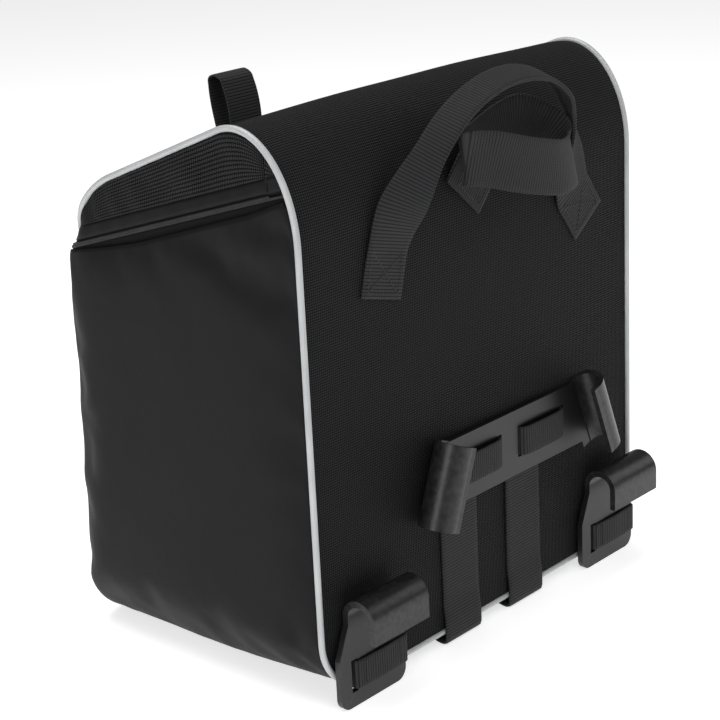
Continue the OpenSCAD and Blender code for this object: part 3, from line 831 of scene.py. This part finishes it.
def zip_strip():
    """Smooth strip between the zip and the lid's seam, slightly rippled."""
    heights = [TAPE - 0.2, TAPE + 0.3, TAPE + 2.5, TAPE + 5, TAPE + 7.5,
               TAPE + STRIP - 1.5, TAPE + STRIP + 0.3]
    insets = [1.6, -0.3, -0.55, -0.3, 0.0, 0.2, 1.4]
    radii = np.linspace(FRONT_R, LID_CORNER, len(heights))
    grid = matched([on_zip(plan_path(i, FOLD_Y - 0.8, 3.0, r), h) for h, i, r in zip(heights, insets, radii)])
    run = lengths(grid, 1)[None, :] * 1000
    wander = np.sin(run * 2 * math.pi / 23 + 1.3 * np.sin(run / 31))
    ripple = 0.35 * wander * np.sin(np.linspace(0, math.pi, 7))[:, None]
    on_side = np.abs(grid[..., 0]) > HALF_W - FRONT_R
    normal = unit(np.stack([grid[..., 0] * on_side, grid[..., 1] + DEPTH * 0.55, 0 * grid[..., 0]], 2))
    grid = grid + normal * ripple[..., None] * 0.6
    obj = sheet_object("lid_zip_strip_cloth", grid, SATIN, (0, -110, 290))
    thicken(obj, 1.3, 1)
    return obj


def tape(name, low, high, y_back, depth_low, depth_high):
    """One zip tape between two heights over the zip line, at a depth under the fabric that may vary."""
    rows = []
    for q in np.linspace(0, 1, 4):
        inset = depth_low + (depth_high - depth_low) * q
        rows.append(on_zip(plan_path(inset, y_back, 3.0), low + (high - low) * q))
    obj = sheet_object(name, matched(rows), TAPE_MAT, (0, -110, 290))
    thicken(obj, 0.7, 0)
    return obj


def coil(name, height, y_back, sign):
    """Nylon coil of one side of the zip: small leaning links."""
    path = even(on_zip(plan_path(0.55, y_back, 2.0), height), 1.7)
    t = unit(np.gradient(path, axis=0))
    corners = [(a, b, w) for w in (-1, 1) for a, b in ((-1, -1), (1, -1), (1, 1), (-1, 1))]
    points, faces = [], []
    for c, d in zip(path, t):
        u = unit(UP - d * (UP @ d))
        o = np.cross(u, d)
        o = o if o @ np.array([c[0], c[1] + 110, 0]) > 0 else -o
        base = len(points)
        for a, b, w in corners:
            k = 0.55 if w > 0 else 1.0
            rise = 1.05 * b * (0.8 if w > 0 else 1)
            points.append(c + d * (0.52 * a * k + 0.28 * b * sign) + u * rise + o * (0.45 * w))
        for f in ((0, 1, 2, 3), (7, 6, 5, 4), (0, 4, 5, 1), (1, 5, 6, 2), (2, 6, 7, 3), (3, 7, 4, 0)):
            faces.append(tuple(base + q for q in f))
    obj = add_object(name, world(np.array(points)), faces, None, COIL)
    fix_normals(obj)
    return obj


# ---- Piping ------------------------------------------------------------------------------------------
def piping():
    """One run: up one lid edge, over the roll, down the back, under it and up again."""
    roll, nose = profile(0.7)
    side = np.concatenate([nose[::-1], roll[::-1], [[-0.7, CORNER]]])
    right = np.stack([lid_half_width(side[:, 0]) - 0.7, side[:, 0], side[:, 1]], 1)
    r = CORNER - 0.7
    a = np.radians(np.linspace(0, 90, 14))[1:]
    turn = np.stack([HALF_W - CORNER + r * np.cos(a), np.full(13, -0.7), CORNER - r * np.sin(a)], 1)
    half = np.concatenate([right, turn])
    path = np.concatenate([half, half[::-1] * [-1, 1, 1]])
    return tube("piping", even(path, 3.5), 2.25, PIPING, 12)


# ---- Straps -----------------------------------------------------------------------------------------
SEWN_HALF = 22


def sewn(x, z, lean):
    """Foot of a sewn end, and its directions sideways and upwards, from its middle and its lean."""
    a = math.radians(lean)
    up, side = np.array([math.sin(a), 0, math.cos(a)]), np.array([math.cos(a), 0, -math.sin(a)])
    return np.array([x, 0, z]) - up * SEWN_HALF, side, up


def carry_strap():
    """Webbing sewn flat at both ends; its grip is turned on edge and folded lengthwise."""
    foot_l, side_l, up_l = sewn(100, 285, -15)
    foot_r, side_r, up_r = sewn(-113, 283, 35)
    rises = ((0, 1.0), (20, 1.1), (36, 2.0))
    start = [foot_l + up_l * h + [0, y, 0] for h, y in rises]
    end = [foot_r + up_r * h + [0, y, 0] for h, y in reversed(rises)]
    middle = [(91, 7, 318), (84, 13, 335), (73, 19, 355), (58, 23, 373), (36, 24, 386), (8, 25, 394),
              (-20, 25, 394), (-46, 24, 387), (-66, 23, 374), (-79, 19, 357), (-90, 13, 338), (-97, 7, 320)]
    twist = [0, 0, 0, 12, 34, 58, 80, 90, 90]
    share = [1, 1, 1, 0.97, 0.75, 0.56, 0.55, 0.55, 0.55]
    route = np.array(start + [np.array(p, float) for p in middle] + end)
    turn_share = np.array([twist + twist[::-1], share + share[::-1]]).T
    both = curve_points(np.concatenate([route, turn_share], 1), 150)
    line, turn = both[:, :3], np.radians(both[:, 3])
    t = unit(np.gradient(line, axis=0))
    flat = unit(np.stack([t[:, 2], 0 * t[:, 0], -t[:, 0]], 1))
    across = flat * np.cos(turn)[:, None] - np.array([0, 1, -0.35]) * np.sin(turn)[:, None]
    obj = band("carry_strap_webbing", line, across, 40, 1.8, fold=np.clip(both[:, 4], 0.54, 1))
    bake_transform(obj)
    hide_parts("carry_strap", "carry_strap_ends")
    box_stitches("carry_strap_stitches_left", foot_l, up_l, side_l, 15.5, 4, 31, 2.15)
    box_stitches("carry_strap_stitches_right", foot_r, up_r, side_r, 15.5, 4, 31, 2.15)


def box_paths(a, b, c, d):
    """The four sides of a box of stitches and its cross."""
    return [[a, b], [b, c], [c, d], [d, a], [a, c], [b, d]]


def box_stitches(name, foot, up, side, half, low, high, y):
    lift = np.array([0, y, 0])
    paths = box_paths(foot + up * low - side * half + lift, foot + up * low + side * half + lift,
                      foot + up * high + side * half + lift, foot + up * high - side * half + lift)
    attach(stitches(name, paths, (0, 1, 0)), "bag")


def hand_loop():
    route = [(50, 29, 350), (30, 37, 346), (8, 42, 339), (-14, 44, 333), (-36, 43, 328), (-54, 38, 327),
             (-66, 31, 328), (-70, 22, 332), (-66, 13, 340), (-52, 8, 350), (-36, 7, 356), (-16, 7, 354),
             (6, 9, 349), (26, 16, 347)]
    line = curve_points(route, 120, closed=True)
    across = np.tile(np.array([0.28, 0, 1.0]), (len(line), 1))
    obj = band("hand_loop_webbing", line, across, 38, 1.8, "hand_loop", closed=True)
    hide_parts("hand_loop")
    foot, side, up = sewn(6, 327, 48)
    line = curve_points([foot + up * h + [0, y, 0] for h, y in ((0, 1.0), (22, 1.15), (44, 1.0))], 30)
    end = band("hand_loop_sewn_end", line, np.tile(side, (30, 1)), 38, 1.8, "bag")
    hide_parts("hand_loop_end")
    box_stitches("hand_loop_stitches", foot, up, side, 14.5, 4, 34, 2.1)


def pull_loop():
    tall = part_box("pull_loop")[1].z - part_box("pull_loop")[0].z
    y0, z0, tall = LID_FRONT - 3.5, LID_TOP + 1, tall * 1000 - 0.8
    rise = np.linspace(0, 0.97, 16)
    q = rise * 0.96
    swell = np.where(q < 0.7, np.sin(np.minimum(q, 0.7) / 0.7 * math.pi / 2) ** 1.6,
                     np.sqrt(1 - (np.maximum(q - 0.7, 0) / 0.3) ** 2))
    lean = -10 * rise ** 2
    up = [(y0 + 1.0 + 8 * w + d, z0 + tall * r) for w, d, r in zip(swell, lean, rise)]
    down = [(y0 - 1.0 - 8 * w + d, z0 + tall * r) for w, d, r in zip(swell, lean, rise)][::-1]
    line = curve_points([(2, y, z) for y, z in up + [(y0 - 10, z0 + tall)] + down], 110)
    obj = band("pull_loop_webbing", line, np.tile([1.0, 0, 0], (110, 1)), 33, 1.6, "pull_loop")
    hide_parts("pull_loop")


def rounded(points, radius, step=0.8):
    """Polyline with its corners rounded, evenly spaced."""
    pts = [np.asarray(p, float) for p in points]
    out = [pts[0]]
    for a, b, c in zip(pts, pts[1:], pts[2:]):
        r = min(radius, np.linalg.norm(b - a) * 0.45, np.linalg.norm(c - b) * 0.45)
        p, q = b + unit(a - b) * r, b + unit(c - b) * r
        for t in np.linspace(0, 1, 7):
            out.append((1 - t) ** 2 * p + 2 * t * (1 - t) * b + t * t * q)
    out.append(pts[-1])
    return even(np.array(out), step)


def back_straps():
    """Straps down the back with a slack turn under the bottom edge, box-stitched underneath."""
    for side, x in (("left", 34), ("right", -40)):
        name = side + "_back_strap_webbing"
        line = rounded([(x, 0.9, 128), (x, 0.9, 21), (x, 2.7, 8), (x, 2.6, -8.5), (x, -5.6, -8.5),
                        (x, -25, -0.9), (x, -60, -0.9)], 6, 3)
        obj = band(name, line, np.tile(ACROSS, (len(line), 1)), 40, 1.8, "bag")
        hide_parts(side + "_back_strap")
        corners = [np.array([x + dx, y, -2.1]) for dx, y in ((-16, -30), (16, -30), (16, -57), (-16, -57))]
        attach(stitches(name + "_stitches", box_paths(*corners), (0, 0, -1)), "bag")


BRACKET = np.array([-23, 0, 121])


def bracket_webbing():
    """Webbing laced through each pair of the bracket's slots, standing proud between them."""
    for side, x0, x1 in (("left", 14, 64), ("right", -60, -10)):
        y1 = 6.0
        pts = [(x0, 0.9, 0), (x0, y1 + 1.6, 0), (x0 + 6, y1 + 3.4, 0), ((x0 + x1) / 2, y1 + 3.8, 0),
               (x1 - 6, y1 + 3.4, 0), (x1, y1 + 1.6, 0), (x1, 0.9, 0)]
        line = rounded([np.array(p) + BRACKET for p in pts], 2.6)
        obj = band(side + "_bracket_lace", line, np.tile(UP, (len(line), 1)), 22, 1.6, "bag")
        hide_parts(side + "_bracket_webbing")


def hook_webbing():
    """Narrow webbing that holds each hook's plate, with two rows of stitches."""
    for side, cx in (("left", 138), ("right", -138)):
        name = side + "_hook_tab"
        pts = [(cx + 17.8, 2.5, 13), (cx + 17.8, 9.0, 13), (cx - 10, 9.8, 13), (cx - 34.2, 9.0, 13),
               (cx - 34.2, 2.5, 13), (cx - 22, 2.5, 13), (cx + 17, 2.5, 13)]
        line = rounded(pts, 2.4)
        obj = band(name, line, np.tile(UP, (len(line), 1)), 21, 1.6, "bag")
        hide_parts(side + "_hook_webbing")
        rows = [[np.array([cx + d, 10.6 - 0.02 * abs(d), z]) for z in (4, 22)] for d in (-27, 9)]
        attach(stitches(name + "_stitches", rows, (0, 1, 0), 3.0, 2.2, 0.28), "bag")


# ---- Lining -----------------------------------------------------------------------------------------
def lining():
    """Open tub of cloth: its rim follows the zip and its floor lies on the bottom board."""
    levels = [0, 1.5, 8, 40, 80, 120, 160, 200, 232, 250, 262, 270, 276, 279]
    rows = []
    y_b = -5.0
    for k, drop in enumerate(levels):
        inset = 2.6 if k == 0 else 5.0
        r = FRONT_R - 4
        a = np.radians(np.linspace(0, 90, 9))
        hw, yf = HALF_W - inset, DEPTH - inset
        ring = [(hw, y) for y in np.linspace(y_b, -yf + r, 30)[:-1]]
        ring += [(hw - r + r * math.cos(q), -yf + r - r * math.sin(q)) for q in a]
        ring += [(x, -yf) for x in np.linspace(hw - r, -hw + r, 40)[1:-1]]
        ring += [(-hw + r - r * math.sin(q), -yf + r - r * math.cos(q)) for q in a]
        ring += [(-hw, y) for y in np.linspace(-yf + r, y_b, 30)[1:]]
        ring += [(x, y_b) for x in np.linspace(-hw, hw, 40)[1:-1]]
        ring = np.array(ring)
        top = np.minimum(zip_z(ring[:, 1]) - TAPE - 4.5, 330)
        z = top - (top - 5.6) * drop / levels[-1]
        low = np.clip(CORNER - z, 0, CORNER - 5)
        pinch = (CORNER - 5) - np.sqrt(np.maximum((CORNER - 5) ** 2 - low ** 2, 0))
        x = np.sign(ring[:, 0]) * np.minimum(np.abs(ring[:, 0]), hw - pinch)
        y = np.where(ring[:, 1] < -20, ring[:, 1] * (-front_y(z) / DEPTH), ring[:, 1])
        rows.append(np.stack([x, y, z], 1))
    grid = np.stack(rows)
    n, m, _ = grid.shape
    points = world(grid.reshape(-1, 3))
    faces = grid_faces(n, m, closed_v=True)
    cu = np.concatenate([[0], np.cumsum(np.linalg.norm(np.diff(grid[3], axis=0), axis=1))]) / 1000
    cu = np.append(cu, cu[-1] + 0.008)
    uvs = []
    for f in faces:
        j = f[0] % m
        for q, idx in enumerate(f):
            uvs.append((cu[j + (1 if q >= 2 else 0)], points[idx][2]))
    cap = [(n - 1) * m + k for k in range(m)]
    faces.append(cap)
    uvs += [(points[k][0], points[k][1]) for k in cap]
    obj = add_object("inner_lining", points, faces, uvs, LINING)
    fix_normals(obj)
    return obj


# ---- Build ------------------------------------------------------------------------------------------
wrap = wrap_panel()
fold_blend(wrap)
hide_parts("back_panel", "lid_panel")

side_cloth = gusset()
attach(side_cloth, "bag")
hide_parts("gusset", "side_foam")

front_cloth = front_panel()
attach(front_cloth, "bag")
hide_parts("front_panel")

for sign, word in ((1, "left"), (-1, "right")):
    side = lid_side(sign, FOLD_Y - 0.35, LID_FRONT + 4.3, f"{word}_lid_side")
    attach(side, "lid")
    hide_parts("lid_sides")
    rear_piece(sign, TAPE + STRIP - 0.4, 60, 0.4, TEXTURED, f"{word}_top_corner")
    rear_piece(sign, TAPE - 0.2, TAPE + STRIP + 0.3, 0.0, SATIN, f"{word}_strip_end")
    rear_piece(sign, 0.9, TAPE + 1.5, 1.3, TAPE_MAT, f"{word}_upper_tape_end")

strip = zip_strip()
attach(strip, "lid")
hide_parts("lid_zip_strip")
upper = tape("upper_tape", 0.9, TAPE + 1.5, FOLD_Y - 0.8, 1.2, 1.9)
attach(upper, "lid")
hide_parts("upper_zip_tape")
lower = tape("lower_tape", -TAPE - 8.0, -0.9, ZIP_END, 2.6, 1.2)
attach(lower, "bag")
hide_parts("lower_zip_tape")
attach(coil("upper_coil", 0.75, FOLD_Y - 0.8, 1), "lid")
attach(coil("lower_coil", -0.75, ZIP_END, -1), "bag")

pipe = piping()
fold_blend(pipe)
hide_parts("body_piping", "lid_piping")

carry_strap()
hand_loop()
pull_loop()
back_straps()
bracket_webbing()
hook_webbing()

inner = lining()
inner.modifiers.new("Solidify", "SOLIDIFY").thickness = 0.0008
inner.modifiers["Solidify"].offset = 0
apply_modifiers(inner)
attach(inner, "bag")
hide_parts("lining")

# Carried-over frame nodes: moulded and metal pieces, and the boards inside.
for node, material, width in (
    ("left_rail_hook", PLASTIC, 0.0011), ("right_rail_hook", PLASTIC, 0.0011),
    ("stay_bracket", PLASTIC, 0.0009), ("left_zip_slider", ENAMEL, 0.0003),
    ("right_zip_slider", ENAMEL, 0.0003), ("left_zip_pull", ENAMEL, 0.0003),
    ("right_zip_pull", ENAMEL, 0.0003), ("back_board", BOARD, 0), ("bottom_board", BOARD, 0),
    ("lid_board", BOARD, 0),
):
    obj = frame["nodes"][node]
    obj.data.materials.clear()
    obj.data.materials.append(material)
    if width:
        m = obj.modifiers.new("Bevel", "BEVEL")
        m.width = width
        m.segments = 3
        m.limit_method = "ANGLE"
        m.angle_limit = math.radians(35)
        m.harden_normals = True
    obj.data.shade_smooth()
    w = obj.modifiers.new("Weighted", "WEIGHTED_NORMAL")
    w.keep_sharp = True


# ---- Studio -----------------------------------------------------------------------------------------
def studio():
    mesh = bpy.data.meshes.new("floor")
    mesh.from_pydata([(-6, -6, 0), (6, -6, 0), (6, 6, 0), (-6, 6, 0)], [], [(0, 1, 2, 3)])
    n = Nodes("floor")
    n.bsdf.inputs["Emission Color"].default_value = rgb(1, 1, 1)
    n.bsdf.inputs["Emission Strength"].default_value = 0.65
    mesh.materials.append(n.finish(rgb(0.86, 0.86, 0.86), 0.7, None, 0.2))
    floor = bpy.data.objects.new("floor", mesh)
    scene.collection.objects.link(floor)
    world_data = bpy.data.worlds.new("studio")
    world_data.use_nodes = True
    tree = world_data.node_tree
    bg = tree.nodes["Background"]
    bg.inputs["Color"].default_value = (1, 1, 1, 1)
    seen = tree.nodes.new("ShaderNodeLightPath")
    level = tree.nodes.new("ShaderNodeMapRange")
    level.inputs[3].default_value, level.inputs[4].default_value = 0.15, 1.0
    tree.links.new(seen.outputs["Is Camera Ray"], level.inputs[0])
    tree.links.new(level.outputs[0], bg.inputs["Strength"])
    scene.world = world_data
    for name, place, size, power in (
        ("key", (0.9, 1.7, 2.0), 1.2, 10), ("fill", (2.1, 0.5, 0.9), 0.9, 12),
        ("top", (0.1, -0.5, 2.3), 1.8, 36), ("rim", (-1.7, 1.1, 1.2), 1.2, 7),
    ):
        light = bpy.data.lights.new(name, "AREA")
        light.size = size
        light.energy = power
        obj = bpy.data.objects.new(name, light)
        obj.location = place
        obj.rotation_mode = "QUATERNION"
        obj.rotation_quaternion = (Vector(place) - Vector((0, 0, 0.2))).to_track_quat("Z", "Y")
        scene.collection.objects.link(obj)
    scene.view_settings.view_transform = "Standard"


studio()
